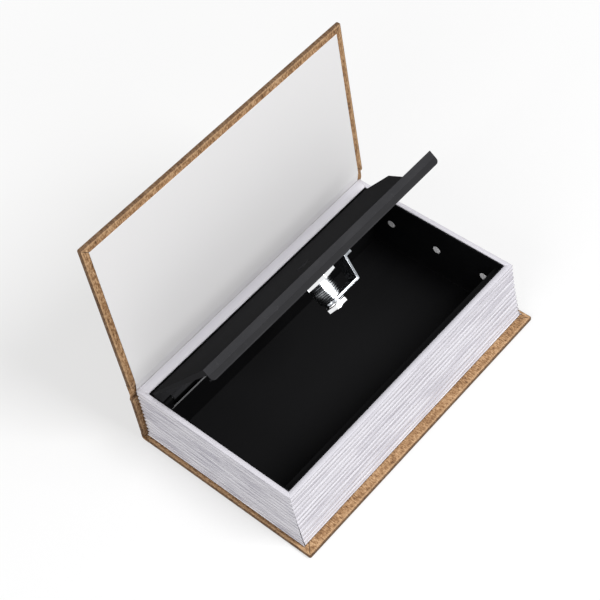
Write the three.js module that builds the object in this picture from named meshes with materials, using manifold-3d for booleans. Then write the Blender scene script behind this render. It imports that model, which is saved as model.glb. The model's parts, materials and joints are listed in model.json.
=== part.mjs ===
// Book-shaped safe lying open on its back cover: a paper-bound case, a ribbed page block and a
// steel tray whose lid is held by a cam lock.
// Millimetres, +Z up. +X runs from the spine to the fore-edge, +Y from the near end to the far end.
// The origin is the centre of the back cover's underside.
import * as THREE from 'three';
import { mergeVertices } from 'three/addons/utils/BufferGeometryUtils.js';
import Module from 'manifold-3d';

// Covers
const bookLength = 240;
const bookWidth = 153;
const coverThickness = 3;
const wrapThickness = 0.4;
const turnInWidth = 14;
const endpaperThickness = 0.3;
const endpaperMargin = 5.5;
const backCoverStart = 4.2;
const frontCoverAngle = 92.4;
const frontCoverReach = 145.5;
const frontHingeGap = 8;
const coverHingeX = 6.7;
const coverHingeBelowRim = 1.4;
const closedClearance = 0.2;

// Spine
const spineThickness = 2.6;
const spineBelowRim = 6.9;
const spineFoot = 4.6;
const jointSheet = 0.5;
const spineTurnIn = 9;
const frontGrooveDepth = 1.7;

// Page block
const blockHeight = 52;
const blockFromSpine = 3.8;
const blockFromEnds = 4.2;
const blockFromForeEdge = 10.6;
const foreEdgeLean = 2.8;
const rimEnds = 3.5;
const rimSpine = 8.1;
const rimForeEdge = 4.1;
const rimThickness = 1.6;
const pageSkin = 1.8;
const footThickness = 1.2;
const footEnds = 1.2;
const footSpine = 0.8;
const footForeEdge = 3.2;
const ribCount = 12;
const ribDepth = 1.2;
const ribCrestShare = 0.6;
const mitreGap = 0.1;

// Steel tray
const trayClearance = 0.2;
const traySheet = 1;
const trayBelowRim = 0.4;
const lipWidth = 6.4;
const lipBelowRim = 6.8;
const pegHoleDiameter = 6.8;
const pegDiameter = 6.2;
const pegSpacingShare = 0.335;
const pegHeight = 27.7;
const pegRowOffset = 2.9;

// Lid hinge
const hingeX = 18.2;
const hingeBelowRim = 13.7;
const rodDiameter = 3;
const rodClearance = 0.3;
const knuckleWall = 0.8;
const railThickness = 1;
const railAhead = 0.7;
const railDrop = 9.9;
const railFoot = 4.6;
const railKnuckleLength = 10;
const knuckleGap = 0.6;
const railKnuckleInset = 7;

// Lid
const lidAngle = 51.7;
const lidSheet = 1;
const lidRise = 11.65;
const lidBackEdge = 7.15;
const backFlangeLean = 0.65;
const lidEndClearance = 0.6;
const lidFrontClearance = 1;
const frontFlangeDepth = 9.7;
const frontFlangeCorner = 3;
const endFlangeBack = 1.4;
const endFlangeFront = 4.4;
const hemWidth = 12;
const cutAlongEdge = 28.5;
const cutAcross = 62.7;

// Cam lock
const lockFromFreeEdge = 30.1;
const lockShankDiameter = 18;
const lockFlats = 16;
const lockHoleDiameter = 18.6;
const lockHeadDiameter = 22;
const lockHeadThickness = 1.5;
const keyHoleDiameter = 11;
const lockShankBelowNut = 14;
const lockNutAcrossFlats = 26;
const lockNutThickness = 4.6;
const plugBore = 12.2;
const plugDiameter = 11.6;
const plugHeadRecess = 0.3;
const keywayWidth = 2;
const keywayHeight = 7;
const keywayDepth = 17;
const waferCount = 5;
const waferThickness = 0.7;
const waferPitch = 3;
const waferLength = 9.4;
const waferWidth = 4.4;
const waferTravel = 0.6;
const waferClearance = 0.3;
const waferWindow = 5;
const bracketLength = 38;
const bracketWidth = 44;
const tangAcross = 7;
const threadDiameter = 6;
const threadLength = 5.4;

// Cam
const camThickness = 2;
const camWidth = 14;
const camTail = 8;
const camFlatReach = 21;
const camRise = 16;
const camSlantRun = 3.7;
const camTipLength = 6.5;
const camTipWidth = 10;
const camHoleClearance = 0.3;
const camWasherDiameter = 15;
const camWasherThickness = 0.8;
const camNutAcrossFlats = 15;
const camNutThickness = 3;

// Strike under the tray's lip
const strikeWidth = 30;
const strikeReach = 10.7;
const strikeLeg = 12;
const strikeBelowLid = 11.6;

// Fits
const turnedGap = 0.3;
const roundSides = 48;
const smallSides = 24;

// Heights and places that follow from the sizes
const blockBase = coverThickness + endpaperThickness;
const rimTop = blockBase + blockHeight;
const blockTopX = bookWidth - blockFromForeEdge - foreEdgeLean;
const innerSpineX = blockFromSpine + rimSpine;
const innerForeX = blockTopX - rimForeEdge;
const innerNearY = blockFromEnds + rimEnds;
const innerFarY = bookLength - innerNearY;
const middleY = bookLength / 2;
const trayX0 = innerSpineX + trayClearance;
const trayX1 = innerForeX - trayClearance;
const trayY0 = innerNearY + trayClearance;
const trayY1 = innerFarY - trayClearance;
const trayFloor = blockBase + traySheet;
const hingeZ = rimTop - hingeBelowRim;
const lipTop = rimTop - lipBelowRim;
const lipInnerX = trayX1 - traySheet - lipWidth;
const lidFreeEdge = lipInnerX - lidFrontClearance - hingeX;
const lidY0 = trayY0 + traySheet + lidEndClearance;
const lidY1 = trayY1 - traySheet - lidEndClearance;
const knuckleRadius = rodDiameter / 2 + rodClearance + knuckleWall;
const boreRadius = rodDiameter / 2 + rodClearance;
const flangeBottom = lidRise - frontFlangeDepth;
const nutTop = flangeBottom - turnedGap;
const headBottom = flangeBottom + lidSheet + turnedGap;
const shankBottom = nutTop - lockNutThickness - lockShankBelowNut;
const camTop = shankBottom - turnedGap;
const lockU = lidFreeEdge - lockFromFreeEdge;
const spineTop = rimTop - spineBelowRim;
const coverHingeZ = rimTop - coverHingeBelowRim;
const frontPaperFace = coverHingeBelowRim + closedClearance;
const coverInnerFace = frontPaperFace + endpaperThickness + turnedGap;
const coverOuterFace = coverInnerFace + coverThickness;

const finishes = {
  wrapPaper: { color: 0xb18b62, roughness: 0.75, metalness: 0 },
  greyBoard: { color: 0x8d877c, roughness: 0.9, metalness: 0 },
  endpaper: { color: 0xe2e0e1, roughness: 0.85, metalness: 0 },
  pagePlastic: { color: 0xe8e6ec, roughness: 0.45, metalness: 0 },
  trayPaint: { color: 0x111214, roughness: 0.5, metalness: 0.2 },
  lidPaint: { color: 0x2b2c2e, roughness: 0.45, metalness: 0.2 },
  bareSteel: { color: 0xb9bbbd, roughness: 0.35, metalness: 1 },
  chrome: { color: 0xd9dadc, roughness: 0.15, metalness: 1 },
  brass: { color: 0xb8934f, roughness: 0.35, metalness: 1 },
};

const wasm = await Module();
wasm.setup();

const book = new THREE.Group();
book.position.set(-bookWidth / 2, -bookLength / 2, 0);

// Signed volume of an indexed geometry: negative when its faces point inwards
function signedVolume(geometry) {
  const position = geometry.attributes.position;
  const index = geometry.index;
  const corners = [new THREE.Vector3(), new THREE.Vector3(), new THREE.Vector3()];
  let volume = 0;
  for (let i = 0; i < index.count; i += 3) {
    corners.forEach((corner, k) => corner.fromBufferAttribute(position, index.getX(i + k)));
    volume += corners[0].dot(corners[1].clone().cross(corners[2])) / 6;
  }
  return volume;
}

// Shared vertices, position only, faces pointing out
function closed(geometry) {
  const bare = geometry.clone();
  bare.deleteAttribute('normal');
  bare.deleteAttribute('uv');
  const merged = mergeVertices(bare, 1e-4);
  if (signedVolume(merged) < 0) {
    const order = merged.index.array;
    for (let i = 0; i < order.length; i += 3) {
      [order[i], order[i + 1]] = [order[i + 1], order[i]];
    }
  }
  return merged;
}

function solid(geometry) {
  const merged = closed(geometry);
  const vertProperties = new Float32Array(merged.attributes.position.array);
  const triVerts = new Uint32Array(merged.index.array);
  return new wasm.Manifold(new wasm.Mesh({ numProp: 3, vertProperties, triVerts }));
}

function geometryOf(manifold) {
  const mesh = manifold.getMesh();
  const geometry = new THREE.BufferGeometry();
  geometry.setAttribute('position', new THREE.BufferAttribute(new Float32Array(mesh.vertProperties), 3));
  geometry.setIndex(new THREE.BufferAttribute(new Uint32Array(mesh.triVerts), 1));
  geometry.computeVertexNormals();
  return geometry;
}

function union(parts) {
  return parts.reduce((sum, part) => sum.add(part));
}

function cut(body, tools) {
  return tools.reduce((left, tool) => left.subtract(tool), body);
}

function box(x0, x1, y0, y1, z0, z1) {
  const geometry = new THREE.BoxGeometry(x1 - x0, y1 - y0, z1 - z0);
  geometry.translate((x0 + x1) / 2, (y0 + y1) / 2, (z0 + z1) / 2);
  return solid(geometry);
}

// A shape drawn in X and Z, pushed along Y
function alongY(shape, y0, y1) {
  const geometry = new THREE.ExtrudeGeometry(shape, { depth: y1 - y0, bevelEnabled: false });
  geometry.rotateX(Math.PI / 2);
  geometry.translate(0, y1, 0);
  return solid(geometry);
}

// A shape drawn in Y and Z, pushed along X
function alongX(shape, x0, x1) {
  const geometry = new THREE.ExtrudeGeometry(shape, { depth: x1 - x0, bevelEnabled: false, curveSegments: 6 });
  const axes = new THREE.Matrix4().makeBasis(
    new THREE.Vector3(0, 1, 0),
    new THREE.Vector3(0, 0, 1),
    new THREE.Vector3(1, 0, 0),
  );
  geometry.applyMatrix4(axes);
  geometry.translate(x0, 0, 0);
  return solid(geometry);
}

// A shape drawn in X and Y, pushed along Z
function alongZ(shape, z0, z1) {
  const geometry = new THREE.ExtrudeGeometry(shape, { depth: z1 - z0, bevelEnabled: false, curveSegments: 10 });
  geometry.translate(0, 0, z0);
  return solid(geometry);
}

function cylinderZ(radius, x, y, z0, z1, sides = roundSides) {
  const geometry = new THREE.CylinderGeometry(radius, radius, z1 - z0, sides);
  geometry.rotateX(Math.PI / 2);
  geometry.translate(x, y, (z0 + z1) / 2);
  return solid(geometry);
}

function cylinderY(radius, x, y0, y1, z, sides = smallSides) {
  const geometry = new THREE.CylinderGeometry(radius, radius, y1 - y0, sides);
  geometry.translate(x, (y0 + y1) / 2, z);
  return solid(geometry);
}

function polygon(points) {
  return new THREE.Shape(points.map(([a, b]) => new THREE.Vector2(a, b)));
}

// The outline of a strip of even thickness along a bent line
function ribbon(points, thickness) {
  const path = points.map(([a, b]) => new THREE.Vector2(a, b));
  const half = thickness / 2;
  const sides = [[], []];
  path.forEach((point, i) => {
    const before = i > 0 ? point.clone().sub(path[i - 1]).normalize() : null;
    const after = i < path.length - 1 ? path[i + 1].clone().sub(point).normalize() : null;
    const tangent = (before ?? after).clone().add(after ?? before).normalize();
    const spread = half / tangent.dot(before ?? after);
    const normal = new THREE.Vector2(-tangent.y, tangent.x).multiplyScalar(spread);
    sides[0].push(point.clone().add(normal));
    sides[1].unshift(point.clone().sub(normal));
  });
  return new THREE.Shape([...sides[0], ...sides[1]]);
}

function part(parent, name, manifold, finish) {
  const mesh = new THREE.Mesh(geometryOf(manifold), new THREE.MeshStandardMaterial(finish));
  mesh.name = name;
  parent.add(mesh);
  return mesh;
}

// A board and the paper folded round it, both lying along X with the open side facing z1
function boardAndWrap(x0, x1, z0, z1, turnIn, gap) {
  const inside = wrapThickness + gap;
  const low = Math.min(z0, z1);
  const high = Math.max(z0, z1);
  const board = box(x0 + inside, x1 - inside, inside, bookLength - inside, low + inside, high - inside);
  const shell = box(x0, x1, 0, bookLength, low, high);
  const hollow = box(
    x0 + wrapThickness,
    x1 - wrapThickness,
    wrapThickness,
    bookLength - wrapThickness,
    low + wrapThickness,
    high - wrapThickness,
  );
  const openLow = z1 > z0 ? high - 2 * wrapThickness : low - wrapThickness;
  const openHigh = z1 > z0 ? high + wrapThickness : low + 2 * wrapThickness;
  const window = box(x0 + turnIn, x1 - turnIn, turnIn, bookLength - turnIn, openLow, openHigh);
  return { board, wrap: cut(shell, [hollow, window]) };
}

// Back cover: board, folded paper and the sheet pasted inside it
function backCover() {
  const { board, wrap } = boardAndWrap(backCoverStart, bookWidth, 0, coverThickness, turnInWidth, 0);
  part(book, 'back_cover_board', board, finishes.greyBoard);
  part(book, 'back_cover_wrap', wrap, finishes.wrapPaper);
  const sheet = box(
    backCoverStart + wrapThickness,
    bookWidth - blockFromForeEdge + footForeEdge - endpaperMargin / 5,
    blockFromEnds,
    bookLength - blockFromEnds,
    coverThickness,
    blockBase,
  );
  part(book, 'back_endpaper', sheet, finishes.endpaper);
}

// Spine: a wrapped board standing on the paper joint of the back cover
function spine() {
  const group = new THREE.Group();
  book.add(group);
  const shell = box(0, spineThickness, 0, bookLength, spineFoot, spineTop);
  const edge = wrapThickness;
  const hollow = box(edge, spineThickness - edge, edge, bookLength - edge, spineFoot + edge, spineTop - edge);
  const window = box(
    spineThickness - 2 * edge,
    spineThickness + edge,
    spineTurnIn,
    bookLength - spineTurnIn,
    spineFoot + spineTurnIn,
    spineTop - spineTurnIn,
  );
  part(group, 'spine_board', hollow, finishes.greyBoard);
  part(group, 'spine_wrap', cut(shell, [hollow, window]), finishes.wrapPaper);
  const half = jointSheet / 2;
  const backJoint = ribbon(
    [
      [backCoverStart - turnedGap, half],
      [spineFoot / 3, half],
      [half, spineFoot / 3],
      [half, spineFoot - turnedGap],
    ],
    jointSheet,
  );
  part(group, 'back_joint_wrap', alongY(backJoint, 0, bookLength), finishes.wrapPaper);
}

// Front cover, turned about its hinge line to the photographed angle
function frontCover() {
  const group = new THREE.Group();
  group.position.set(coverHingeX, 0, coverHingeZ);
  group.rotation.y = -THREE.MathUtils.degToRad(frontCoverAngle);
  book.add(group);
  const { board, wrap } = boardAndWrap(
    frontHingeGap,
    frontCoverReach,
    coverOuterFace,
    coverInnerFace,
    turnInWidth,
    turnedGap,
  );
  part(group, 'front_cover_board', board, finishes.greyBoard);
  part(group, 'front_cover_wrap', wrap, finishes.wrapPaper);
  const paper = box(
    frontHingeGap + turnedGap,
    frontCoverReach - endpaperMargin,
    endpaperMargin,
    bookLength - endpaperMargin,
    frontPaperFace,
    frontPaperFace + endpaperThickness,
  );
  part(group, 'front_endpaper', paper, finishes.endpaper);
}

// A point of the front cover's cross-section, in book X and Z
function onFrontCover(along, outward) {
  const angle = THREE.MathUtils.degToRad(frontCoverAngle);
  return [
    coverHingeX + along * Math.cos(angle) - outward * Math.sin(angle),
    coverHingeZ + along * Math.sin(angle) + outward * Math.cos(angle),
  ];
}

// The two thin sheets of the front joint: paper outside, endpaper inside
function frontJoint() {
  const half = jointSheet / 2;
  const outer = ribbon(
    [
      [half, spineTop + turnedGap],
      [frontGrooveDepth, (spineTop + rimTop) / 2],
      onFrontCover(frontHingeGap - turnedGap, coverOuterFace - half),
    ],
    jointSheet,
  );
  part(book, 'front_joint_wrap', alongY(outer, 0, bookLength), finishes.wrapPaper);
  const innerX = (spineThickness + blockFromSpine) / 2;
  const inner = ribbon(
    [
      [innerX, spineTop - spineTurnIn],
      [innerX, coverHingeZ],
      onFrontCover(frontHingeGap - turnedGap, frontPaperFace + endpaperThickness / 2),
    ],
    endpaperThickness,
  );
  const margin = endpaperMargin;
  part(book, 'front_joint_endpaper', alongY(inner, margin, bookLength - margin), finishes.endpaper);
}

// Outer face of the fore-edge strip at a height above the block's base
function foreEdgeX(height) {
  return bookWidth - blockFromForeEdge - (foreEdgeLean * height) / blockHeight;
}

// Outer and inner corners of the page block: near spine, near fore-edge, far fore-edge, far spine
function blockCorners(height) {
  const x1 = foreEdgeX(height);
  const far = bookLength - blockFromEnds;
  return {
    outer: [
      [blockFromSpine, blockFromEnds],
      [x1, blockFromEnds],
      [x1, far],
      [blockFromSpine, far],
    ],
    inner: [
      [innerSpineX, innerNearY],
      [innerForeX, innerNearY],
      [innerForeX, innerFarY],
      [innerSpineX, innerFarY],
    ],
  };
}

// The ribbed C-section of a strip: depth inwards from its outer face, and height
function stripSection(widthAt, foot) {
  const section = [
    [-foot, 0],
    [-foot, footThickness],
    [ribDepth, footThickness],
  ];
  const ribbed = blockHeight - rimThickness - footThickness;
  const pitch = ribbed / ribCount;
  const flank = (1 - ribCrestShare) / 2;
  for (let i = 0; i < ribCount; i += 1) {
    const z = footThickness + i * pitch;
    section.push([0, z + flank * pitch], [0, z + (1 - flank) * pitch]);
    section.push([ribDepth, z + pitch]);
  }
  section.push(
    [0, blockHeight - rimThickness / 2],
    [0, blockHeight],
    [widthAt(blockHeight), blockHeight],
    [widthAt(blockHeight - rimThickness), blockHeight - rimThickness],
    [pageSkin, blockHeight - rimThickness],
    [pageSkin, footThickness],
    [widthAt(footThickness), footThickness],
    [widthAt(0), 0],
  );
  return section;
}

// A strip between two mitred corners of the page block
function pageStrip(name, from, to, widthAt, foot) {
  const shape = polygon(stripSection(widthAt, foot));
  const geometry = new THREE.ExtrudeGeometry(shape, { depth: 1, bevelEnabled: false });
  const position = geometry.attributes.position;
  for (let i = 0; i < position.count; i += 1) {
    const depth = position.getX(i);
    const height = position.getY(i);
    const along = position.getZ(i);
    const share = depth / widthAt(height);
    const { outer, inner } = blockCorners(height);
    const ends = [from, to].map((corner) => {
      const start = new THREE.Vector2(...outer[corner]);
      return start.lerp(new THREE.Vector2(...inner[corner]), share);
    });
    const run = ends[1].clone().sub(ends[0]).normalize();
    ends[0].addScaledVector(run, mitreGap);
    ends[1].addScaledVector(run, -mitreGap);
    const place = ends[0].lerp(ends[1], along);
    position.setXYZ(i, place.x, place.y, blockBase + height);
  }
  part(book, name, solid(geometry), finishes.pagePlastic);
}

function pageBlock() {
  const foreWidth = (height) => foreEdgeX(height) - innerForeX;
  pageStrip('page_strip_near', 0, 1, () => rimEnds, footEnds);
  pageStrip('page_strip_fore_edge', 1, 2, foreWidth, footForeEdge);
  pageStrip('page_strip_far', 2, 3, () => rimEnds, footEnds);
  pageStrip('page_strip_spine', 3, 0, () => rimSpine, footSpine);
}

function pegPlaces() {
  const centre = (trayX0 + trayX1) / 2 + pegRowOffset;
  const spacing = (trayX1 - trayX0) * pegSpacingShare;
  return [centre - spacing, centre, centre + spacing];
}

// Steel tray with a lip along the fore-edge wall and peg holes in its end walls
function tray() {
  const top = rimTop - trayBelowRim;
  const shell = box(trayX0, trayX1, trayY0, trayY1, blockBase, top);
  const hollow = box(
    trayX0 + traySheet,
    trayX1 - traySheet,
    trayY0 + traySheet,
    trayY1 - traySheet,
    trayFloor,
    top + traySheet,
  );
  const lip = box(lipInnerX, trayX1 - traySheet / 2, trayY0, trayY1, lipTop - traySheet, lipTop);
  const pegHoles = pegPlaces().map((x) =>
    cylinderY(pegHoleDiameter / 2, x, trayY0 - 1, trayY1 + 1, blockBase + pegHeight));
  const rodHole = cylinderY(boreRadius, hingeX, trayY0 - 1, trayY1 + 1, hingeZ);
  part(book, 'tray', cut(cut(shell, [hollow]).add(lip), [...pegHoles, rodHole]), finishes.trayPaint);
}

// Plastic pegs that hold the end strips in the tray's end walls
function pegs() {
  const skin = blockFromEnds + pageSkin;
  const reach = trayY0 + traySheet;
  const z = blockBase + pegHeight;
  pegPlaces().forEach((x, i) => {
    const near = cylinderY(pegDiameter / 2, x, skin, reach, z);
    part(book, `tray_peg_near_${i + 1}`, near, finishes.pagePlastic);
    const far = cylinderY(pegDiameter / 2, x, bookLength - reach, bookLength - skin, z);
    part(book, `tray_peg_far_${i + 1}`, far, finishes.pagePlastic);
  });
}

// Stretches of Y taken by the hinge knuckles on the tray's rail
function railKnuckles() {
  const half = railKnuckleLength / 2;
  const first = trayY0 + railKnuckleInset;
  const last = trayY1 - railKnuckleInset;
  return [first, middleY, last].map((y) => [y - half, y + half]);
}

function ring(x, z, y0, y1) {
  const outer = cylinderY(knuckleRadius, x, y0, y1, z);
  return cut(outer, [cylinderY(boreRadius, x, y0 - 1, y1 + 1, z)]);
}

// Rail that carries the lid hinge, standing on the tray floor
function hingeRail() {
  const y0 = trayY0 + traySheet;
  const y1 = trayY1 - traySheet;
  const x1 = hingeX + railAhead;
  const x0 = x1 - railThickness;
  const top = hingeZ - railDrop;
  const wall = box(x0, x1, y0, y1, trayFloor, top);
  const foot = box(x0 - railFoot, x0, y0, y1, trayFloor, trayFloor + railThickness);
  const webs = railKnuckles().map(([a, b]) => box(x0, x1, a, b, top - railThickness, hingeZ));
  const bore = cylinderY(boreRadius, hingeX, y0, y1, hingeZ);
  const rings = railKnuckles().map(([a, b]) => ring(hingeX, hingeZ, a, b));
  part(book, 'hinge_rail', union([cut(union([wall, foot, ...webs]), [bore]), ...rings]), finishes.trayPaint);
}

function hingeRod() {
  const rod = cylinderY(rodDiameter / 2, hingeX, trayY0, trayY1, hingeZ);
  part(book, 'hinge_rod', rod, finishes.bareSteel);
}

// Angle under the lip that the cam hooks beneath
function strike() {
  const y0 = middleY - strikeWidth / 2;
  const y1 = middleY + strikeWidth / 2;
  const wallX = trayX1 - traySheet;
  const top = hingeZ + lidRise - strikeBelowLid;
  const leaf = box(wallX - strikeReach, wallX, y0, y1, top - traySheet, top);
  const leg = box(wallX - traySheet, wallX, y0, y1, top - strikeLeg, top);
  part(book, 'strike_bracket', leaf.add(leg), finishes.trayPaint);
}

// Group whose X runs across the lid from the hinge line and whose Z is the lid's outward normal
const lidGroup = new THREE.Group();
lidGroup.position.set(hingeX, 0, hingeZ);
lidGroup.rotation.y = -THREE.MathUtils.degToRad(lidAngle);
book.add(lidGroup);

function lidKnuckles() {
  const stops = railKnuckles();
  return [
    [stops[0][1] + knuckleGap, stops[1][0] - knuckleGap],
    [stops[1][1] + knuckleGap, stops[2][0] - knuckleGap],
  ];
}

// Folded lid: top plate with one cut corner, tapered end flanges, a front flange with a hem and a
// leaning back flange that ends in knuckles
function lidSheetMetal() {
  const cutStart = lidFreeEdge - cutAcross;
  const outline = polygon([
    [lidBackEdge, lidY0],
    [lidFreeEdge, lidY0],
    [lidFreeEdge, lidY1 - cutAlongEdge],
    [cutStart, lidY1],
    [lidBackEdge, lidY1],
  ]);
  const plate = alongZ(outline, lidRise - lidSheet, lidRise);
  const flangeShape = new THREE.Shape();
  flangeShape.moveTo(lidY0, lidRise);
  flangeShape.lineTo(lidY0, flangeBottom + frontFlangeCorner);
  flangeShape.absarc(lidY0 + frontFlangeCorner, flangeBottom + frontFlangeCorner, frontFlangeCorner,
    Math.PI, 1.5 * Math.PI, false);
  flangeShape.absarc(lidY1 - frontFlangeCorner, flangeBottom + frontFlangeCorner, frontFlangeCorner,
    1.5 * Math.PI, 2 * Math.PI, false);
  flangeShape.lineTo(lidY1, lidRise);
  const flange = alongX(flangeShape, lidFreeEdge - lidSheet, lidFreeEdge);
  const hem = box(
    lidFreeEdge - hemWidth,
    lidFreeEdge - lidSheet / 2,
    lidY0 + frontFlangeCorner,
    lidY1 - frontFlangeCorner,
    flangeBottom,
    flangeBottom + lidSheet,
  );
  const endFlange = (end, y0) => {
    const share = (end - lidBackEdge) / (lidFreeEdge - lidBackEdge);
    const depth = endFlangeBack + (endFlangeFront - endFlangeBack) * share;
    const side = polygon([
      [lidBackEdge, lidRise],
      [lidBackEdge, lidRise - endFlangeBack],
      [end, lidRise - depth],
      [end, lidRise],
    ]);
    return alongY(side, y0, y0 + lidSheet);
  };
  const endFlanges = [
    endFlange(lidFreeEdge - lidSheet / 2, lidY0),
    endFlange(cutStart, lidY1 - lidSheet),
  ];
  const back = [lidBackEdge + backFlangeLean, lidRise - lidSheet / 2];
  const start = (knuckleRadius + turnedGap) / Math.hypot(...back);
  const leaf = ribbon([[back[0] * start, back[1] * start], back], lidSheet);
  const backFlange = alongY(leaf, lidY0, lidY1);
  const webs = lidKnuckles().map(([a, b]) => alongY(ribbon([[0, 0], back], lidSheet), a, b));
  const bores = lidKnuckles().map(([a, b]) => cylinderY(boreRadius, 0, a - 0.1, b + 0.1, 0));
  const rings = lidKnuckles().map(([a, b]) => ring(0, 0, a, b));
  const keyHole = cylinderZ(keyHoleDiameter / 2, lockU, middleY, lidRise - lidSheet - 1, lidRise + 1);
  const folds = union([plate, flange, hem, ...endFlanges, backFlange, ...webs]);
  part(lidGroup, 'lid', union([cut(folds, [keyHole, ...bores]), ...rings]), finishes.lidPaint);
}

// Bracket under the lid plate that the lock is clamped to
function lockBracket() {
  const u1 = lidFreeEdge - hemWidth - turnedGap;
  const u0 = u1 - bracketLength;
  const y0 = middleY - bracketWidth / 2;
  const y1 = middleY + bracketWidth / 2;
  const underPlate = lidRise - lidSheet - turnedGap;
  const base = box(u0, u1, y0, y1, flangeBottom, flangeBottom + lidSheet);
  const legs = [
    box(u0, u1, y0, y0 + lidSheet, flangeBottom, underPlate),
    box(u0, u1, y1 - lidSheet, y1, flangeBottom, underPlate),
  ];
  const hole = cylinderZ(lockHoleDiameter / 2, lockU, middleY, flangeBottom - 1, lidRise);
  part(lidGroup, 'lock_bracket', cut(union([base, ...legs]), [hole]), finishes.lidPaint);
}

function hexagon(acrossFlats, x, y, z0, z1) {
  const radius = acrossFlats / 2 / Math.cos(Math.PI / 6);
  return cylinderZ(radius, x, y, z0, z1, 6);
}

// Lock body on the bracket, under the lid's key hole: round head, shank with two flats, and the plug's bore
function lockBody() {
  const head = cylinderZ(lockHeadDiameter / 2, lockU, middleY, headBottom, headBottom + lockHeadThickness);
  const round = cylinderZ(lockShankDiameter / 2, lockU, middleY, shankBottom, headBottom);
  const half = lockFlats / 2;
  const flats = box(lockU - half, lockU + half, middleY - lockShankDiameter, middleY + lockShankDiameter,
    shankBottom, headBottom);
  const bore = cylinderZ(plugBore / 2, lockU, middleY, shankBottom - 1, headBottom + lockHeadThickness + 1);
  part(lidGroup, 'lock_body', cut(round.intersect(flats).add(head), [bore]), finishes.chrome);
}

function lockNut() {
  const nut = hexagon(lockNutAcrossFlats, lockU, middleY, nutTop - lockNutThickness, nutTop);
  const bore = cylinderZ(lockHoleDiameter / 2, lockU, middleY, nutTop - lockNutThickness - 1, nutTop + 1);
  part(lidGroup, 'lock_nut', cut(nut, [bore]), finishes.chrome);
}

// Group that turns about the lock's axis
const camGroup = new THREE.Group();
camGroup.position.set(lockU, middleY, 0);
lidGroup.add(camGroup);

function waferHeights() {
  const first = headBottom - waferPitch / 2;
  return Array.from({ length: waferCount }, (_, i) => first - i * waferPitch);
}

// Plug: keyway, wafer slots, square tang and threaded end
function lockPlug() {
  const top = headBottom + lockHeadThickness - plugHeadRecess;
  const barrel = cylinderZ(plugDiameter / 2, 0, 0, shankBottom, top);
  const half = tangAcross / 2;
  const tang = box(-half, half, -half, half, camTop - camThickness, shankBottom + 1);
  const thread = cylinderZ(threadDiameter / 2, 0, 0, camTop - camThickness - threadLength, camTop, smallSides);
  const keyway = box(-keywayHeight / 2, keywayHeight / 2, -keywayWidth / 2, keywayWidth / 2,
    top - keywayDepth, top + 1);
  const slotWidth = waferWidth / 2 + waferClearance;
  const slotHeight = waferThickness / 2 + waferClearance;
  const slots = waferHeights().map((z) =>
    box(-plugDiameter, plugDiameter, -slotWidth, slotWidth, z - slotHeight, z + slotHeight));
  part(camGroup, 'lock_plug', cut(union([barrel, tang, thread]), [keyway, ...slots]), finishes.chrome);
}

// Wafers that slide across the plug
function wafers() {
  const centre = -waferTravel / 2;
  waferHeights().forEach((z, i) => {
    const z0 = z - waferThickness / 2;
    const z1 = z + waferThickness / 2;
    const u0 = centre - waferLength / 2;
    const plate = box(u0, u0 + waferLength, -waferWidth / 2, waferWidth / 2, z0, z1);
    const window = box(centre - waferWindow / 2, centre + waferWindow / 2,
      -keywayWidth / 2 - waferClearance, keywayWidth / 2 + waferClearance, z0 - 1, z1 + 1);
    part(camGroup, `lock_wafer_${i + 1}`, cut(plate, [window]), finishes.brass);
  });
}

// Cam: a strip bent up towards the lid, with a rounded tail and a narrower tip
function cam() {
  const z = camTop - camThickness / 2;
  const bend = camFlatReach + camSlantRun;
  const side = ribbon(
    [
      [-camTail, z],
      [camFlatReach, z],
      [bend, z + camRise],
      [bend + camTipLength, z + camRise],
    ],
    camThickness,
  );
  const tall = camRise + 2 * camThickness;
  const outline = new THREE.Shape();
  outline.moveTo(camWidth / 2, 0);
  outline.lineTo(camWidth / 2, camFlatReach);
  outline.lineTo(camTipWidth / 2, bend + camTipLength);
  outline.lineTo(-camTipWidth / 2, bend + camTipLength);
  outline.lineTo(-camWidth / 2, camFlatReach);
  outline.lineTo(-camWidth / 2, 0);
  outline.absarc(0, 0, camWidth / 2, Math.PI, 2 * Math.PI, false);
  const strip = alongX(side, -camWidth, camWidth).intersect(alongZ(outline, z - tall, z + tall));
  const half = tangAcross / 2 + camHoleClearance;
  const hole = box(-half, half, -half, half, z - camThickness, z + camThickness);
  part(camGroup, 'cam', cut(strip, [hole]), finishes.chrome);
}

function camFasteners() {
  const bore = threadDiameter / 2 + camHoleClearance;
  const washerTop = camTop - camThickness - turnedGap;
  const washerLow = washerTop - camWasherThickness;
  const washer = cylinderZ(camWasherDiameter / 2, 0, 0, washerLow, washerTop);
  const hole = cylinderZ(bore, 0, 0, washerLow - 1, washerTop + 1, smallSides);
  part(camGroup, 'cam_washer', cut(washer, [hole]), finishes.chrome);
  const nutTopZ = washerLow - turnedGap;
  const nut = hexagon(camNutAcrossFlats, 0, 0, nutTopZ - camNutThickness, nutTopZ);
  const thread = cylinderZ(bore, 0, 0, nutTopZ - camNutThickness - 1, nutTopZ + 1, smallSides);
  part(camGroup, 'cam_nut', cut(nut, [thread]), finishes.chrome);
}

backCover();
spine();
frontJoint();
frontCover();
pageBlock();
tray();
pegs();
hingeRail();
hingeRod();
strike();
lidSheetMetal();
lockBracket();
lockBody();
lockNut();
lockPlug();
wafers();
cam();
camFasteners();

const model = new THREE.Group();
model.add(book);

export default model;
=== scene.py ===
"""Looks of a book-shaped safe lying open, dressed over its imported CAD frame.

Sizes are written in millimetres in the book's corner frame: X from the spine to the fore-edge,
Y from the near end to the far end, Z up from the table.
"""

from __future__ import annotations

import json
import logging
import math
from dataclasses import dataclass
from enum import Enum
from typing import Any, Callable, Sequence

import bmesh
import bpy
from mathutils import Matrix, Vector


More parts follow.
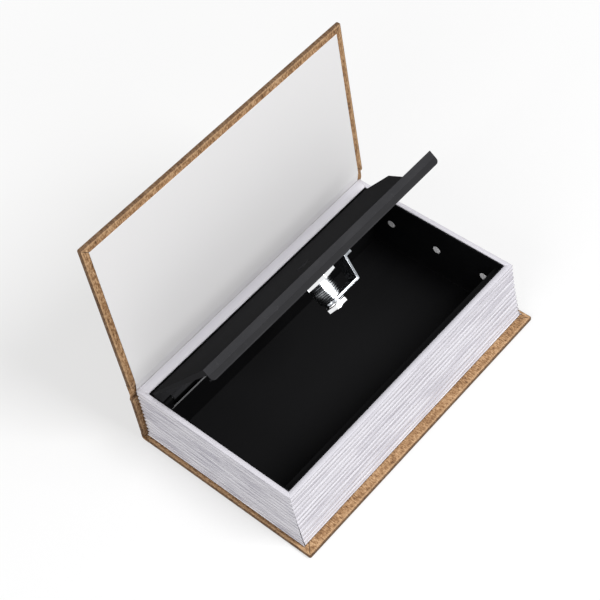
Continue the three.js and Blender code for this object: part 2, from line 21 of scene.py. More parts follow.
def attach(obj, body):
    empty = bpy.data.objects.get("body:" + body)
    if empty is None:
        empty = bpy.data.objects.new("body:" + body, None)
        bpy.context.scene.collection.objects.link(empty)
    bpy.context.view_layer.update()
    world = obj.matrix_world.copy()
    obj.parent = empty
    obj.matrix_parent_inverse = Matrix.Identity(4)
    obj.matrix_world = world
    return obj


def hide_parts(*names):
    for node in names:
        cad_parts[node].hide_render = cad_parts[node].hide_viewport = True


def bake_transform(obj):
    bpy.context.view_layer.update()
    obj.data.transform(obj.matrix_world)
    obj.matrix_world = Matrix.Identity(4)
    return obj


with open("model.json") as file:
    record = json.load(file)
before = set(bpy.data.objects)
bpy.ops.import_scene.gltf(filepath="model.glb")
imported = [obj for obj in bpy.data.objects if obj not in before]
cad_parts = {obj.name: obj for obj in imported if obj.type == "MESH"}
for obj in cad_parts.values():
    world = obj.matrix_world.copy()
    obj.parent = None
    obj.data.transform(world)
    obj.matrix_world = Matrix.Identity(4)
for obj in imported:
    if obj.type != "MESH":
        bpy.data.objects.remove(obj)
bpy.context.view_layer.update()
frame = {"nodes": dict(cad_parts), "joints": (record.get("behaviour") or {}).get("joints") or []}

log = logging.getLogger("book_safe")

MM = 0.001
BOOK_CORNER = Vector((-76.5, -120.0, 0.0))
BOOK_LENGTH = 240.0
COVER_OPENED = math.radians(92.4)
LID_OPENED = math.radians(51.7)
FLAT_WITHIN = math.radians(0.6)
WELD_WITHIN = 1e-6
Pair = tuple[float, float]
Triple = tuple[float, float, float]
Line = Sequence[Pair]


class Body(Enum):
    """The rigid bodies of the safe."""

    CASE = "case"
    SPINE = "spine"
    FRONT_COVER = "front_cover"
    LID = "lid"
    CAM = "cam"


def place(x: float, y: float, z: float) -> Vector:
    """Returns a point of the book's corner frame in metres of the shared frame."""
    return (Vector((x, y, z)) + BOOK_CORNER) * MM


def book_frame() -> Matrix:
    """Returns the matrix from book millimetres to metres of the shared frame."""
    return Matrix.Translation(BOOK_CORNER * MM) @ Matrix.Scale(MM, 4)


def hinge_frame(joint: str) -> Matrix:
    """Finds the frame of a leaf that turns about a joint.

    Args:
        joint: Name of a hinge whose lower limit is its closed pose.

    Returns:
        The matrix from the leaf's own millimetres, X along the leaf and Z out of it, to metres.
    """
    found = next(j for j in frame["joints"] if j["name"] == joint)
    opened = math.radians(found["range_deg"][0])
    turn = Matrix.Rotation(opened, 4, "Y")
    side = Matrix.Translation((0, BOOK_CORNER.y * MM - found["pos_m"][1], 0))
    return Matrix.Translation(found["pos_m"]) @ side @ turn @ Matrix.Scale(MM, 4)


def tone(code: str) -> tuple[float, ...]:
    """Returns the linear colour of a hex code, with alpha 1."""
    parts = [int(code[i : i + 2], 16) / 255 for i in (0, 2, 4)]
    line = [c / 12.92 if c <= 0.04045 else ((c + 0.055) / 1.055) ** 2.4 for c in parts]
    return (*line, 1.0)


class Wire:
    """An output socket that takes part in sums."""

    def __init__(self, bench: NodeBench, socket: bpy.types.NodeSocket) -> None:
        """Keeps the socket and the bench its tree is built on."""
        self.bench = bench
        self.socket = socket

    def __add__(self, other: Any) -> Wire:
        """Returns self + other."""
        return self.bench.maths("ADD", self, other)

    def __radd__(self, other: Any) -> Wire:
        """Returns other + self."""
        return self.bench.maths("ADD", other, self)

    def __sub__(self, other: Any) -> Wire:
        """Returns self - other."""
        return self.bench.maths("SUBTRACT", self, other)

    def __rsub__(self, other: Any) -> Wire:
        """Returns other - self."""
        return self.bench.maths("SUBTRACT", other, self)

    def __mul__(self, other: Any) -> Wire:
        """Returns self * other."""
        return self.bench.maths("MULTIPLY", self, other)

    def __rmul__(self, other: Any) -> Wire:
        """Returns other * self."""
        return self.bench.maths("MULTIPLY", other, self)

    def __truediv__(self, other: Any) -> Wire:
        """Returns self / other."""
        return self.bench.maths("DIVIDE", self, other)

    def __abs__(self) -> Wire:
        """Returns the size of self without its sign."""
        return self.bench.maths("ABSOLUTE", self)

    def least(self, other: Any) -> Wire:
        """Returns the smaller of two numbers."""
        return self.bench.maths("MINIMUM", self, other)

    def most(self, other: Any) -> Wire:
        """Returns the larger of two numbers."""
        return self.bench.maths("MAXIMUM", self, other)

    def below(self, edge: float, soft: float) -> Wire:
        """Returns a mask that is 1 below an edge and falls to 0 over a soft width."""
        return self.bench.span(self, edge + soft, edge)


class NodeBench:
    """Builds the nodes of one shader or geometry tree."""

    def __init__(self, tree: bpy.types.NodeTree) -> None:
        """Starts on an empty tree."""
        self.tree = tree
        tree.nodes.clear()

    def add(
        self, kind: str, feeds: dict[Any, Any] | None = None, **settings: Any
    ) -> bpy.types.Node:
        """Adds a node.

        Args:
            kind: The node's type.
            feeds: Values, wires or nodes for its inputs, by identifier, name or place.
            settings: Properties, set before the sockets are filled; stops fills a colour ramp.

        Returns:
            The new node.
        """
        node = self.tree.nodes.new(kind)
        for key, value in settings.items():
            if key == "stops":
                self._set_stops(node, value)
            else:
                setattr(node, key, value)
        for key, value in (feeds or {}).items():
            socket = self._input(node, key)
            if isinstance(value, bpy.types.Node):
                value = self.wire(value)
            if isinstance(value, Wire):
                self.tree.links.new(value.socket, socket)
            else:
                socket.default_value = value
        return node

    @staticmethod
    def _set_stops(node: bpy.types.Node, stops: Sequence[tuple[float, str]]) -> None:
        """Fills a colour ramp with places and hex codes."""
        line = node.color_ramp.elements
        while len(line) < len(stops):
            line.new(0.5)
        for element, (where, code) in zip(line, stops):
            element.position = where
            element.color = tone(code)

    @staticmethod
    def _input(node: bpy.types.Node, key: Any) -> bpy.types.NodeSocket:
        """Finds an input socket by place, identifier or name."""
        if isinstance(key, int):
            return node.inputs[key]
        for socket in node.inputs:
            if key in (socket.identifier, socket.name):
                return socket
        raise KeyError(f"{node.bl_idname} has no input {key}")

    def wire(self, node: bpy.types.Node, key: Any = 0) -> Wire:
        """Returns an output of a node by place, identifier or name."""
        if isinstance(key, int):
            return Wire(self, node.outputs[key])
        found = next(s for s in node.outputs if key in (s.identifier, s.name))
        return Wire(self, found)

    def maths(self, operation: str, *values: Any) -> Wire:
        """Returns the result of a Math node."""
        feeds = dict(enumerate(values))
        return self.wire(self.add("ShaderNodeMath", feeds, operation=operation))

    def vectors(self, operation: str, *values: Any) -> Wire:
        """Returns the result of a Vector Math node."""
        feeds = dict(enumerate(values))
        return self.wire(self.add("ShaderNodeVectorMath", feeds, operation=operation))

    def scaled(self, direction: Wire, length: Wire) -> Wire:
        """Returns a direction scaled to a length."""
        feeds = {0: direction, "Scale": length}
        return self.wire(self.add("ShaderNodeVectorMath", feeds, operation="SCALE"))

    def span(self, value: Wire, low: float, high: float) -> Wire:
        """Returns a smooth 0 to 1 mask as a value goes from low to high."""
        feeds = {"Value": value, "From Min": low, "From Max": high}
        return self.wire(self.add("ShaderNodeMapRange", feeds, interpolation_type="SMOOTHSTEP"))

    def blend(self, share: Any, first: Any, second: Any) -> Wire:
        """Returns a mix of two colours, each a wire, a node or a hex code."""
        feeds = {"Factor_Float": share}
        for key, colour in (("A_Color", first), ("B_Color", second)):
            feeds[key] = tone(colour) if isinstance(colour, str) else colour
        return self.wire(self.add("ShaderNodeMix", feeds, data_type="RGBA"), "Result_Color")

    def noise(self, place_: Any, scale: float, detail: float = 3.0, rough: float = 0.5) -> Wire:
        """Returns the number of a noise pattern, about 0.3 to 0.7."""
        feeds = {"Vector": place_, "Scale": scale, "Detail": detail, "Roughness": rough}
        return self.wire(self.add("ShaderNodeTexNoise", feeds), "Fac")

    def streaks(self, place_: Wire, scale: Triple, detail: float, rough: float = 0.5) -> Wire:
        """Returns a noise pattern stretched by its own scale along each axis."""
        return self.noise(self.vectors("MULTIPLY", place_, scale), 1.0, detail, rough)

    def turned(self, place_: Wire, centre: Vector, turn: float) -> tuple[Wire, ...]:
        """Returns the three numbers of coordinates taken from a centre and turned about Y."""
        feeds = {"Vector": self.vectors("SUBTRACT", place_, centre), "Rotation": (0.0, turn, 0.0)}
        return self.parts(self.add("ShaderNodeMapping", feeds, vector_type="POINT"))

    def parts(self, vector: Any) -> tuple[Wire, ...]:
        """Returns the three numbers of a vector."""
        node = self.add("ShaderNodeSeparateXYZ", {0: vector})
        return tuple(self.wire(node, i) for i in range(3))

    def rays(self) -> Wire:
        """Returns a mask that is 1 for rays from the camera, mirrors and glass."""
        node = self.add("ShaderNodeLightPath")
        camera, mirror, glass = (
            self.wire(node, f"Is {kind} Ray") for kind in ("Camera", "Glossy", "Transmission")
        )
        return camera.most(mirror).most(glass)


@dataclass(frozen=True)
class Finish:
    """A surface finish: a named material whose pattern is worked out from the piece's place."""

    name: str

    def paint(self, bench: NodeBench, spot: Wire) -> dict[str, Any]:
        """Returns the inputs of the Principled shader; Height and Depth make the bump."""
        raise NotImplementedError

    def material(self) -> bpy.types.Material:
        """Returns this finish's material, built the first time it is asked for."""
        made = bpy.data.materials.get(self.name)
        if made is not None:
            return made
        made = bpy.data.materials.new(self.name)
        made.use_nodes = True
        bench = NodeBench(made.node_tree)
        spot = bench.wire(bench.add("ShaderNodeTexCoord"), "Object")
        inputs = self.paint(bench, spot)
        height, depth = inputs.pop("Height"), inputs.pop("Depth")
        feeds = {"Height": height, "Distance": depth, "Strength": 1.0}
        inputs["Normal"] = bench.add("ShaderNodeBump", feeds)
        shader = bench.add("ShaderNodeBsdfPrincipled", inputs)
        bench.add("ShaderNodeOutputMaterial", {"Surface": shader})
        return made

    @staticmethod
    def look(
        colour: Any, rough: Any, relief: Any, depth: float, gleam: float = 0.5, metallic: float = 0
    ) -> dict[str, Any]:
        """Returns the shader's inputs, with the relief's depth in metres."""
        return {
            "Base Color": colour,
            "Roughness": rough,
            "Specular IOR Level": gleam,
            "Metallic": metallic,
            "Height": relief,
            "Depth": depth,
        }


@dataclass(frozen=True)
class KraftPaper(Finish):
    """Mottled brown cover paper with pressed fibres and folded corners, a painted shade line along
    its edges and a pale band inside them, worn by rubbing and painted with a highlight.
    """

    pale: str = "D2AD85"
    middle: str = "9E7751"
    dark: str = "523721"
    # Dark tone of the mitred seams; it also paints the shade line along the paper's edges.
    seam_and_edge_shade: str = "3F2C1E"
    centre: Vector = Vector((0, 0, 0))
    half: Pair = (0.0, 0.0)
    inner_side: float = 0.0
    turn: float = 0.0
    seam_reach: float = 0.0135
    seam_half: float = 0.0002
    # Width of the painted shade line along the paper's edges.
    outline: float = 0.00035
    # Span of the pale band inside the edges, worn by rubbing and carrying a painted highlight.
    rub_wear_and_highlight: Pair = (0.0004, 0.0014)

    def paint(self, bench: NodeBench, spot: Wire) -> dict[str, Any]:
        """Returns the paper's colour, roughness and relief."""
        blotch = bench.noise(spot, 420.0, 5.0, 0.7)
        cloud = bench.noise(spot, 80.0)
        fleck = bench.streaks(spot, (330.0, 1250.0, 330.0), 4.0, 0.7)
        mottle = blotch * 0.3 + cloud * 0.15 + fleck * 0.55
        stops = [(0.39, self.dark), (0.49, self.middle), (0.59, self.pale)]
        colour = bench.add("ShaderNodeValToRGB", {"Fac": mottle}, stops=stops)
        fibre = bench.streaks(spot, (1400.0, 5200.0, 1400.0), 3.0, 0.7)
        relief = fibre * 0.5 + blotch * 0.5
        if self.half[0] > 0:
            line, rub_wear_and_highlight = self._edges(bench, spot)
            # The seams and the painted shade line along the edges take the dark tone.
            colour = bench.blend(line * 0.8, colour, self.seam_and_edge_shade)
            # The pale band inside the edges: wear from rubbing, with a painted highlight.
            colour = bench.blend(rub_wear_and_highlight * fleck * 0.9, colour, self.pale)
            relief = relief - line * 1.6
        return self.look(colour, 0.62 + fibre * 0.25, relief, 0.00012, 0.35)

    def _edges(self, bench: NodeBench, spot: Wire) -> tuple[Wire, Wire]:
        """Finds the paper's folds.

        Args:
            bench: The tree being built.
            spot: Object coordinates.

        Returns:
            A mask of the mitred seams on the turned-in side with the painted shade line along the
            edges, and a mask of the pale band inside the edges, worn by rubbing and painted with a
            highlight.
        """
        along, across, out = bench.turned(spot, self.centre, self.turn)
        from_end = self.half[0] * MM - abs(along)
        from_side = self.half[1] * MM - abs(across)
        inner = (out * self.inner_side).below(0.0, -0.0004)
        diagonal = abs(from_end - from_side).below(self.seam_half, 0.0003)
        border = from_end.least(from_side)
        line = diagonal * border.below(self.seam_reach, 0.0004) * inner
        # Pale band just inside the edges: wear from rubbing, with a painted highlight.
        start, end = self.rub_wear_and_highlight
        rub_wear_and_highlight = bench.span(border, start, start * 2) * border.below(end, 0.0008)
        # Painted shade: a thin dark line right along the edges.
        outline = border.below(self.outline, 0.0003)
        return line.most(outline * 0.85), rub_wear_and_highlight


@dataclass(frozen=True)
class EndPaper(Finish):
    """Smooth off-white lining paper with faint clouding."""

    sheet: str = "F5F3F5"
    shade: str = "ECEAEC"

    def paint(self, bench: NodeBench, spot: Wire) -> dict[str, Any]:
        """Returns the paper's colour, roughness and relief."""
        cloud = bench.noise(spot, 24.0, 4.0, 0.55)
        tooth = bench.noise(spot, 2600.0, 3.0, 0.6)
        colour = bench.blend(bench.span(cloud, 0.35, 0.7), self.sheet, self.shade)
        return self.look(colour, 0.74 + tooth * 0.12, tooth + cloud * 6.0, 0.00004, 0.3)


@dataclass(frozen=True)
class PagePlastic(Finish):
    """Lavender-white moulding with fine page lines along its faces, painted shade in its grooves,
    a painted contact shadow at its foot and painted light on its top band.
    """

    crest: str = "E3E1E7"
    valley: str = "BFBCC5"
    # Tone of the painted shade in the grooves between the ribs.
    groove: str = "96929F"
    # Painted light: the top band's own tone, set for how bright the lit top faces come out.
    rim: str = "F7F6F9"
    # Tone of the painted contact shadow low on the strip, where it stands on the cover.
    foot: str = "2E2B33"
    line_scale: float = 1050.0
    top: float = 0.0537
    contact_shadow_span: Pair = (0.003, 0.0039)

    def paint(self, bench: NodeBench, spot: Wire) -> dict[str, Any]:
        """Returns the moulding's colour, roughness and relief."""
        lines = bench.streaks(spot, (26.0, 26.0, self.line_scale), 3.0, 0.65)
        broad = bench.streaks(spot, (14.0, 14.0, 420.0), 2.0)
        grain = bench.noise(spot, 900.0, 2.0)
        mask = bench.span(lines * 0.75 + broad * 0.25, 0.36, 0.58)
        colour = bench.blend(mask, self.valley, self.crest)
        # Painted shade in the grooves between the ribs, where the strip tree marks them.
        height = bench.parts(spot)[2]
        reader = bench.add("ShaderNodeAttribute", attribute_name="groove")
        recess_shade = bench.wire(reader, "Fac") * height.below(self.top, 0.0004)
        colour = bench.blend(recess_shade * (0.1 + broad * 1.1), colour, self.groove)
        # Painted light: the top faces take their own tone, set for how bright they come out under
        # the lamps.
        crown = bench.span(height, self.top - 0.0002, self.top + 0.0004)
        colour = bench.blend(crown, colour, self.rim)
        # Painted contact shadow: a dark band low on the strip, where it meets the cover.
        low, high = self.contact_shadow_span
        base = height.below(high, 0.0002) * bench.span(height, low, low + 0.0002)
        colour = bench.blend(base * 0.85, colour, self.foot)
        relief = lines * 0.9 + broad * 0.4 + grain * 0.1
        return self.look(colour, 0.46 + grain * 0.2, relief, 0.0003, 0.4)


@dataclass(frozen=True)
class PowderCoat(Finish):
    """Fine-textured black powder coat with dust specks and handling marks, painted shade where it
    is seen edge-on, a painted lighter tray floor and a painted highlight along one edge.
    """

    coat: str = "1D1D1E"
    worn: str = "3A3A3B"
    # Painted shade: the darker tone where the coat is seen edge-on; also the lid hem's painted
    # shade.
    shade_tone: str = "1D1D1E"
    # Painted light: a lighter tone low in the tray, below a set height.
    lit_floor_tone: str = "1D1D1E"
    lit_floor_top: float = -1.0
    # Painted highlight: a pale line at one height; only the hinge rail's top edge sets it.
    rub_wear_and_highlight: str = "8A8A8C"
    highlight_span: Pair = (9.0, 9.1)
    gloss: float = 0.52
    sheen: float = 0.4

    def paint(self, bench: NodeBench, spot: Wire) -> dict[str, Any]:
        """Returns the coat's colour, roughness and relief."""
        peel = bench.noise(spot, 1500.0, 3.0, 0.55)
        smear = bench.streaks(spot, (60.0, 22.0, 60.0), 4.0, 0.6)
        specks = bench.span(bench.noise(spot, 620.0, 1.0, 0.4), 0.68, 0.74)
        handled = bench.span(smear, 0.42, 0.8) * 0.45 + specks * 0.3
        colour = bench.blend(handled, self.coat, self.worn)
        # Painted shade: the coat turns darker where it is seen edge-on.
        facing = bench.wire(bench.add("ShaderNodeLayerWeight", {"Blend": 0.5}), "Facing")
        colour = bench.blend(bench.span(facing, 0.35, 0.85), colour, self.shade_tone)
        # Painted light: the tray's floor is painted lighter than its walls, fading out towards the
        # far end.
        _, along, height = bench.parts(spot)
        low = height.below(self.lit_floor_top, 0.004) * along.below(0.02, 0.12)
        colour = bench.blend(low, colour, self.lit_floor_tone)
        # Painted highlight: a pale line along the top edge at the set height.
        start, end = self.highlight_span
        edge = bench.span(height, start - 0.0002, start) * height.below(end, 0.0001)
        colour = bench.blend(edge * 0.8, colour, self.rub_wear_and_highlight)
        rough = self.gloss - 0.08 + smear * 0.16
        return self.look(colour, rough, peel + smear * 0.6, 0.00005, self.sheen)


@dataclass(frozen=True)
class FoldedCoat(PowderCoat):
    """Powder coat on the lid, with painted shade on the hem that is folded up over its front
    flange.
    """

    hinge: Vector = Vector((0, 0, 0))
    turn: float = 0.0
    flange: float = 0.1075
    hem_top: float = 0.0064
    lip_top: float = 0.0029

    def paint(self, bench: NodeBench, spot: Wire) -> dict[str, Any]:
        """Returns the coat's colour, roughness and relief."""
        inputs = super().paint(bench, spot)
        out, _, rise = bench.turned(spot, self.hinge, self.turn)
        # Painted shade on the hem, the lower band of the front flange; the lip at its foot keeps
        # the plain coat.
        front = bench.span(out, self.flange - 0.0004, self.flange)
        hem = front * rise.below(self.hem_top - 0.0002, 0.0003)
        lip = hem * bench.span(rise, self.lip_top, self.lip_top - 0.0003)
        inputs["Base Color"] = bench.blend(hem * 0.5 - lip * 0.6, inputs["Base Color"], self.shade_tone)
        inputs["Height"] = inputs["Height"] + hem * 4.0
        return inputs


@dataclass(frozen=True)
class Plating(Finish):
    """Bright plate over stamped or turned metal, with fine handling scratches."""

    metal: str = "DADDE0"
    tarnish: str = "A6AAAE"
    gloss: float = 0.1
    draw: Triple = (120.0, 120.0, 120.0)

    def paint(self, bench: NodeBench, spot: Wire) -> dict[str, Any]:
        """Returns the plate's colour, roughness and relief."""
        drawn = bench.streaks(spot, self.draw, 4.0, 0.6)
        scratch = bench.span(bench.streaks(spot, (5200.0, 260.0, 2600.0), 2.0), 0.6, 0.72)
        fog = bench.noise(spot, 210.0)
        colour = bench.blend(bench.span(fog, 0.4, 0.75), self.metal, self.tarnish)
        rough = self.gloss + scratch * 0.12 + bench.span(fog, 0.4, 0.8) * 0.1
        return self.look(colour, rough, drawn * 0.6 - scratch * 0.25, 0.00004, metallic=1.0)


@dataclass(frozen=True)
class ThreadedPlating(Plating):
    """Plating on the lock's shank, with painted shade between the threads and the plain bright
    plate on the two flats.
    """

    centre: Vector = Vector((0, 0, 0))
    turn: float = 0.0
    axis: float = 0.0786
    flat: float = 0.0079
    root: float = 0.00865
    # Tone of the painted shade between the thread's ridges.
    thread_shade: str = "1B1C1F"

    def paint(self, bench: NodeBench, spot: Wire) -> dict[str, Any]:
        """Returns the plate's colour, roughness and relief."""
        inputs = super().paint(bench, spot)
        out, side, _ = bench.turned(spot, self.centre, self.turn)
        across = out - self.axis
        radius = bench.maths("SQRT", across * across + side * side)
        round_part = abs(across).below(self.flat - 0.0002, 0.0001)
        # Painted shade on the core between the thread's ridges, away from the two flats.
        recess_shade = radius.below(self.root, 0.0004) * round_part
        inputs["Base Color"] = bench.blend(recess_shade * 0.95, inputs["Base Color"], self.thread_shade)
        inputs["Roughness"] = inputs["Roughness"] + recess_shade * 0.3
        return inputs


@dataclass(frozen=True)
class GreyBoard(Finish):
    """Pressed grey board."""

    pulp: str = "A19B90"
    fleck: str = "6F695F"

    def paint(self, bench: NodeBench, spot: Wire) -> dict[str, Any]:
        """Returns the board's colour, roughness and relief."""
        pulp = bench.noise(spot, 800.0, 4.0, 0.7)
        colour = bench.blend(bench.span(pulp, 0.45, 0.75), self.pulp, self.fleck)
        return self.look(colour, 0.8 + pulp * 0.15, pulp, 0.0001)


EDGE_PAPER = KraftPaper("joint_paper")
ENDPAPER = EndPaper("endpaper")
# Painted shade: a darker copy of the endpaper for the back lining, which lies in the shade of the
# page block.
SHADED_BACK_LINING = EndPaper("back_lining_painted_shade", sheet="BEBBC0", shade="B0ADB3")
SPINE_PAGES = PagePlastic("page_plastic_spine", rim="D9D7DD")
END_PAGES = PagePlastic(
    "page_plastic_end", crest="F1EFF4", valley="BCB9C3", groove="807C8B",
    rim="D8D6DD", line_scale=760.0,
)
FORE_PAGES = PagePlastic(
    "page_plastic_fore", crest="E2E0E6", valley="C3C0C8", groove="A4A1AB",
    rim="CDCBD2", line_scale=860.0,
)
PEG_PLASTIC = PagePlastic("peg_plastic", crest="FBFBFC", valley="F1F0F3")
TRAY_COAT = PowderCoat(
    "tray_coat", coat="0B0B0C", worn="151516", shade_tone="080809",
    lit_floor_tone="19191A", lit_floor_top=0.0058, gloss=0.6, sheen=0.06,
)
# Painted highlight along the hinge rail's top edge.
RAIL_COAT = PowderCoat(
    "rail_coat", coat="0F0F10", worn="1B1B1C", shade_tone="0A0A0B",
    highlight_span=(0.0312, 0.0318), gloss=0.6, sheen=0.06,
)
LID_HINGE = place(18.2, 120.0, 41.6)
LID_COAT = FoldedCoat(
    "lid_coat", coat="363638", worn="454547", shade_tone="2C2C2D", gloss=0.62, sheen=0.0,
    hinge=LID_HINGE, turn=LID_OPENED,
)
LOCK_BARREL = ThreadedPlating("lock_barrel_plate", centre=LID_HINGE, turn=LID_OPENED)
CHROME = Plating("lock_chrome")
CAM_PLATE = Plating(
    "cam_plate", metal="B4B8BD", tarnish="7E8287", gloss=0.16, draw=(260.0, 60.0, 260.0)
)
BARE_STEEL = Plating(
    "drawn_steel", metal="707275", tarnish="4A4B4E", gloss=0.4, draw=(900.0, 30.0, 900.0)
)
WAFER_BRASS = Plating("wafer_brass", metal="C9A65E", tarnish="94743A", gloss=0.25)
BOARD = GreyBoard("grey_board")


def linked(name: str, data: bpy.types.ID) -> bpy.types.Object:
    """Puts data into the scene as an object at the origin."""
    made = bpy.data.objects.new(name, data)
    bpy.context.scene.collection.objects.link(made)
    return made


def new_object(name: str, mesh: bmesh.types.BMesh) -> bpy.types.Object:
    """Puts a finished bmesh into the scene as an object at the origin."""
    data = bpy.data.meshes.new(name)
    mesh.to_mesh(data)
    mesh.free()
    return linked(name, data)


def settle(piece: bpy.types.Object) -> bpy.types.Object:
    """Turns a piece with live modifiers into a plain mesh piece of the same name."""
    graph = bpy.context.evaluated_depsgraph_get()
    graph.update()
    data = bpy.data.meshes.new_from_object(piece.evaluated_get(graph))
    name = piece.name
    bpy.data.objects.remove(piece)
    data.name = name
    return linked(name, data)


def open_tree(
    name: str, kinds: dict[str, str], result: str
) -> tuple[bpy.types.NodeTree, NodeBench, Callable[[str], Wire]]:
    """Starts a geometry node tree with named inputs.

    Args:
        name: The tree's name.
        kinds: The kind of each input socket, by the input's name.
        result: Name of its one geometry output.

    Returns:
        The tree, the bench to build it on, and a function that gives an input's wire by name.
    """
    tree = bpy.data.node_groups.new(name, "GeometryNodeTree")
    for key, kind in kinds.items():
        tree.interface.new_socket(key, in_out="INPUT", socket_type=f"NodeSocket{kind}")
    tree.interface.new_socket(result, in_out="OUTPUT", socket_type="NodeSocketGeometry")
    bench = NodeBench(tree)
    given = bench.add("NodeGroupInput")
    return tree, bench, lambda key: bench.wire(given, key)


def finish_tree(bench: NodeBench, geometry: Any, material: Any, result: str) -> None:
    """Ends a geometry node tree with real geometry that carries a material."""
    single = bench.add("GeometryNodeRealizeInstances", {"Geometry": geometry})
    coat = bench.add("GeometryNodeSetMaterial", {"Geometry": single, "Material": material})
    bench.add("NodeGroupOutput", {result: coat})


def run_tree(
    piece: bpy.types.Object, tree: bpy.types.NodeTree, values: dict[str, Any]
) -> bpy.types.Object:
    """Runs a node tree on a piece.

    Args:
        piece: The object that the tree works on.
        tree: The tree.
        values: Its inputs by name, set by socket identifier before the tree first runs.

    Returns:
        The plain mesh piece that takes its place.
    """
    runner = piece.modifiers.new(tree.name, "NODES")
    runner.node_group = tree
    for item in tree.interface.items_tree:
        if item.name in values:
            runner[item.identifier] = values[item.name]
    return settle(piece)


def smooth(piece: bpy.types.Object, angle: float = 35.0) -> None:
    """Shades a piece smooth except over edges sharper than an angle in degrees."""
    piece.data.polygons.foreach_set("use_smooth", [True] * len(piece.data.polygons))
    piece.data.set_sharp_from_angle(angle=math.radians(angle))


def flattened(piece: bpy.types.Object, angle: float) -> bpy.types.Object:
    """Shades a piece smooth with large faces kept flat up to their broken edges.

    Args:
        piece: A plain mesh piece.
        angle: Edges sharper than this stay sharp, in degrees.

    Returns:
        The piece that takes its place.
    """
    smooth(piece, angle)
    weigh = piece.modifiers.new("normals", "WEIGHTED_NORMAL")
    weigh.mode = "FACE_AREA"
    weigh.keep_sharp = True
    return settle(piece)


def dress(
    piece: bpy.types.Object,
    finish: Finish,
    nodes: Sequence[str],
    body: Body | None = None,
) -> bpy.types.Object:
    """Gives a piece its finish and its place in the record.

    Args:
        piece: The finished mesh piece.
        finish: Its surface.
        nodes: CAD nodes it stands for.
        body: The body it rides on, or None where it bends between two.

    Returns:
        The same piece.
    """
    piece.data.materials.clear()
    piece.data.materials.append(finish.material())
    if body is not None:
        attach(piece, body.value)
    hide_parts(*nodes)
    log.info("%s: %d faces, stands for %s", piece.name, len(piece.data.polygons), ", ".join(nodes))
    return piece


def softened(
    node: str, name: str, width: float, steps: int = 3, angle: float = 30.0
) -> bpy.types.Object:
    """Copies a CAD node with its edges broken as on the real piece.

    Args:
        node: The CAD node.
        name: The new piece's name.
        width: Width of the broken edge in millimetres.
        steps: Faces across that edge.
        angle: Edges sharper than this are broken, in degrees.

    Returns:
        The new piece, still without a finish.
    """
    mesh = bmesh.new()
    mesh.from_mesh(frame["nodes"][node].data)
    bmesh.ops.remove_doubles(mesh, verts=mesh.verts, dist=WELD_WITHIN)
    bmesh.ops.dissolve_limit(mesh, angle_limit=FLAT_WITHIN, verts=mesh.verts, edges=mesh.edges)
    bmesh.ops.triangulate(mesh, faces=mesh.faces)
    piece = new_object(name, mesh)
    bevel = piece.modifiers.new("edges", "BEVEL")
    bevel.width = width * MM
    bevel.segments = steps
    bevel.limit_method = "ANGLE"
    bevel.angle_limit = math.radians(angle)
    return flattened(settle(piece), 40.0)


def paint_node(node: str, finish: Finish) -> None:
    """Gives a CAD node a finish without changing its shape."""
    data = frame["nodes"][node].data
    data.materials.clear()
    data.materials.append(finish.material())
    log.info("%s: finished as %s", node, finish.name)


def swept_sheet(
    name: str,
    path: Line,
    y_range: Pair,
    thickness: float,
    rows: int = 6,
    taper: float = 0.25,
) -> bpy.types.Object:
    """Builds a thin bent sheet from its outer line.

    Args:
        name: The new piece's name.
        path: Points of the outer face in book X and Z, smoothed by a spline.
        y_range: Its two ends in book Y.
        thickness: Its thickness in millimetres, laid towards the line's right.
        rows: Faces between two points of the line.
        taper: Share of the thickness left at the line's two ends.

    Returns:
        The new piece, still without a finish.
    """
    line = spline(path, rows)
    mesh = bmesh.new()
    rings = []
    stations = 24
    for i, point in enumerate(line):
        before, after = line[max(i - 1, 0)], line[min(i + 1, len(line) - 1)]
        run = (after - before).normalized()
        inward = Vector((run.y, -run.x))
        from_end = min(i, len(line) - 1 - i) / rows
        depth = thickness * min(1.0, taper + (1 - taper) * from_end)
        back = point + inward * depth
        ring = []
        for j in range(stations + 1):
            y = y_range[0] + (y_range[1] - y_range[0]) * j / stations
            ring.append([mesh.verts.new(place(p.x, y, p.y)) for p in (point, back)])
        rings.append(ring)
    for first, second in zip(rings, rings[1:]):
        for j in range(stations):
            for side in (0, 1):
                a, b = first[j][side], first[j + 1][side]
                mesh.faces.new((a, b, second[j + 1][side], second[j][side]))
        for j in (0, stations):
            mesh.faces.new((*first[j], *reversed(second[j])))
    for ring in (rings[0], rings[-1]):
        for j in range(stations):
            mesh.faces.new((*ring[j], *reversed(ring[j + 1])))
    bmesh.ops.recalc_face_normals(mesh, faces=mesh.faces)
    piece = new_object(name, mesh)
    smooth(piece, 50.0)
    return piece


def spline(points: Line, rows: int) -> list[Vector]:
    """Returns a smooth line through points, with a number of steps between each two."""
    line = [Vector(p) for p in points]
    ends = [line[0] * 2 - line[1], *line, line[-1] * 2 - line[-2]]
    made = []
    for a, b, c, d in zip(ends, ends[1:], ends[2:], ends[3:]):
        for k in range(rows):
            t = k / rows
            bend, twist = 2 * a - 5 * b + 4 * c - d, 3 * b - a - 3 * c + d
            made.append(0.5 * (2 * b + (c - a) * t + bend * t**2 + twist * t**3))
    return [*made, line[-1]]


